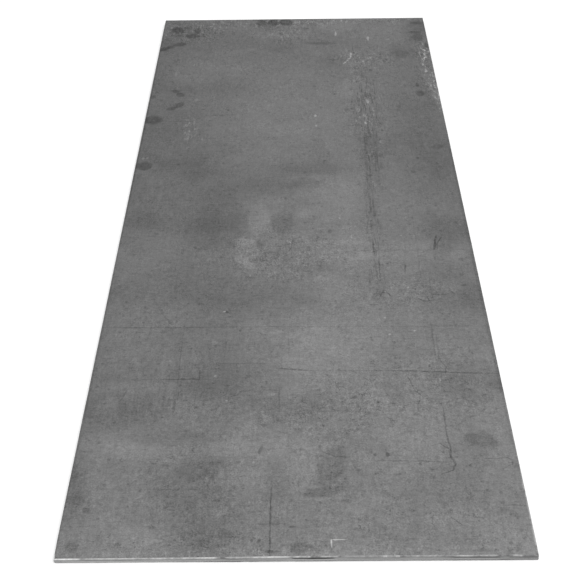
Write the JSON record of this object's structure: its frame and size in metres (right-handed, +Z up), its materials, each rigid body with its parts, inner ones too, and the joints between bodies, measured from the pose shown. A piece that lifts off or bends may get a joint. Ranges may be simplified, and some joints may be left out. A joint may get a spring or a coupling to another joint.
{
  "type": "steel plate",
  "caption": "Flat rectangular plate of hot-rolled steel with sheared edges and its dark mill scale left on, raw stock for cutting, bending or welding.",
  "frame": {"origin": "middle of the bottom face, which the plate rests on", "axes": "+X across the width, +Y along the length and the direction of rolling, +Z up through the thickness. The short edge that faces the viewer in the main view is at -Y."},
  "size_m": [0.5, 1.25, 0.008],
  "materials": {
    "mill_scale": "satin"
  },
  "bodies": {
    "root": {"steel_plate": "mill_scale"}
  },
  "joints": []
}
